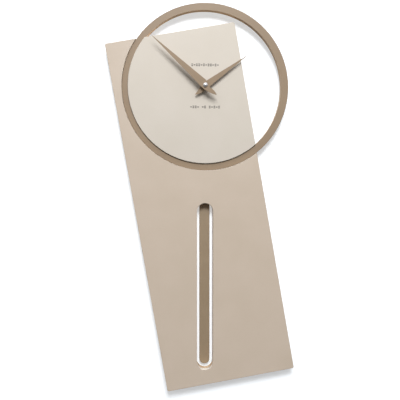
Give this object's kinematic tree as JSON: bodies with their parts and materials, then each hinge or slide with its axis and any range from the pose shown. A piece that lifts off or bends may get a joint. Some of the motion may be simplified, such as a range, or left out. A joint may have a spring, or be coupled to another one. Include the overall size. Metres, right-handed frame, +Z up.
{
  "type": "pendulum wall clock",
  "caption": "Wall clock with a round dial framed by a ring, set in a tilted rectangular board with a vertical slot that shows a swinging pendulum rod.",
  "frame": {"origin": "centre of the round entry hole of the keyhole plate, on the wall plane", "axes": "+X to the right for a person facing the dial, +Y into the wall, +Z up"},
  "size_m": [0.2932, 0.0435, 0.6041],
  "materials": {
    "board_tan": "matt lacquered fibreboard",
    "panel_beige": "matt lacquered fibreboard",
    "dial_cream": "matt lacquered fibreboard",
    "rod_tan": "matt lacquered strip",
    "batten_wood": "bare softwood",
    "zinc_steel": "zinc plated",
    "felt": "pressed felt",
    "case_black": "moulded, fine grain",
    "cover_grey": "moulded, fine grain",
    "brass": "turned",
    "rubber": "matt",
    "gear_white": "moulded acetal",
    "knob_white": "moulded",
    "board_green": "solder mask",
    "chip_black": "epoxy drop",
    "crystal_can": "nickel plated can",
    "copper_wire": "enamelled winding",
    "magnet_grey": "sintered ferrite",
    "core_steel": "annealed sheet",
    "bobbin_plastic": "moulded",
    "battery_jacket": "printed sleeve",
    "contact_nickel": "nickel plated strip",
    "hand_tan": "tan paint",
    "cap_chrome": "polished",
    "lever_plastic": "moulded"
  },
  "bodies": {
    "clock": {"base_board": "board_tan", "front_panel": "panel_beige", "dial_plate": "dial_cream", "hanging_batten": "batten_wood", "keyhole_plate": "zinc_steel", "keyhole_plate_screws": "zinc_steel", "batten_screws": "zinc_steel", "lower_spacer_left": "batten_wood", "lower_spacer_right": "batten_wood", "spacer_screws": "zinc_steel", "wall_pad_left": "felt", "wall_pad_right": "felt", "movement_case": "case_black", "movement_rear_cover": "cover_grey", "threaded_bushing": "brass", "dial_gasket": "rubber", "bushing_washer": "brass", "bushing_nut": "brass", "gear_plate": "case_black", "gear_plate_screws": "zinc_steel", "circuit_board": "board_green", "quartz_crystal": "crystal_can", "control_chip": "chip_black", "coil_bobbin": "bobbin_plastic", "coil_winding": "copper_wire", "coil_core": "core_steel", "motor_stator": "core_steel", "battery_cell": "battery_jacket", "battery_contact_plus": "contact_nickel", "battery_contact_minus": "contact_nickel", "pendulum_coil": "copper_wire", "pendulum_pivot_pin": "zinc_steel"},
    "minute": {"minute_arbor": "brass", "centre_wheel": "gear_white", "minute_hand": "hand_tan", "hand_cap_nut": "cap_chrome"},
    "hour": {"hour_wheel": "gear_white", "hour_hand": "hand_tan"},
    "motion": {"motion_wheel": "gear_white", "setting_knob": "knob_white"},
    "third": {"third_wheel": "gear_white"},
    "second": {"second_wheel": "gear_white"},
    "intermediate": {"intermediate_wheel": "gear_white"},
    "rotor": {"rotor_arbor": "gear_white", "rotor_magnet": "magnet_grey"},
    "pendulum": {"pendulum_lever": "lever_plastic", "pendulum_magnet": "magnet_grey", "pendulum_hanger": "zinc_steel", "hanger_rivets": "zinc_steel", "pendulum_rod": "rod_tan"}
  },
  "joints": [
    {"name": "minute_hand_turn", "type": "hinge", "parent": "clock", "child": "minute", "pos_m": [0, -0.037, -0.06], "axis": [0, 1, 0], "continuous": true},
    {"name": "hour_hand_turn", "type": "hinge", "parent": "clock", "child": "hour", "pos_m": [0, -0.033, -0.06], "axis": [0, 1, 0], "continuous": true},
    {"name": "setting_knob_turn", "type": "hinge", "parent": "clock", "child": "motion", "pos_m": [-0.00866, -0.002, -0.055], "axis": [0, 1, 0], "continuous": true},
    {"name": "third_wheel_turn", "type": "hinge", "parent": "clock", "child": "third", "pos_m": [0.00886, -0.012, -0.06156], "axis": [0, 1, 0], "continuous": true},
    {"name": "second_wheel_turn", "type": "hinge", "parent": "clock", "child": "second", "pos_m": [0, -0.01, -0.06], "axis": [0, 1, 0], "continuous": true},
    {"name": "intermediate_wheel_turn", "type": "hinge", "parent": "clock", "child": "intermediate", "pos_m": [0.00235, -0.009, -0.05121], "axis": [0, 1, 0], "continuous": true},
    {"name": "rotor_turn", "type": "hinge", "parent": "clock", "child": "rotor", "pos_m": [0.00596, -0.012, -0.04498], "axis": [0, 1, 0], "continuous": true},
    {"name": "pendulum_swing", "type": "hinge", "parent": "clock", "child": "pendulum", "pos_m": [0, -0.007, -0.093], "axis": [0, 1, 0], "range_deg": [-3, 3]}
  ],
  "couplings": [
    {"joint": "hour_hand_turn", "follows": "minute_hand_turn", "ratio": 0.083333},
    {"joint": "setting_knob_turn", "follows": "minute_hand_turn", "ratio": -0.33333},
    {"joint": "third_wheel_turn", "follows": "minute_hand_turn", "ratio": -8},
    {"joint": "second_wheel_turn", "follows": "minute_hand_turn", "ratio": 60},
    {"joint": "intermediate_wheel_turn", "follows": "minute_hand_turn", "ratio": -360},
    {"joint": "rotor_turn", "follows": "minute_hand_turn", "ratio": 1800}
  ]
}
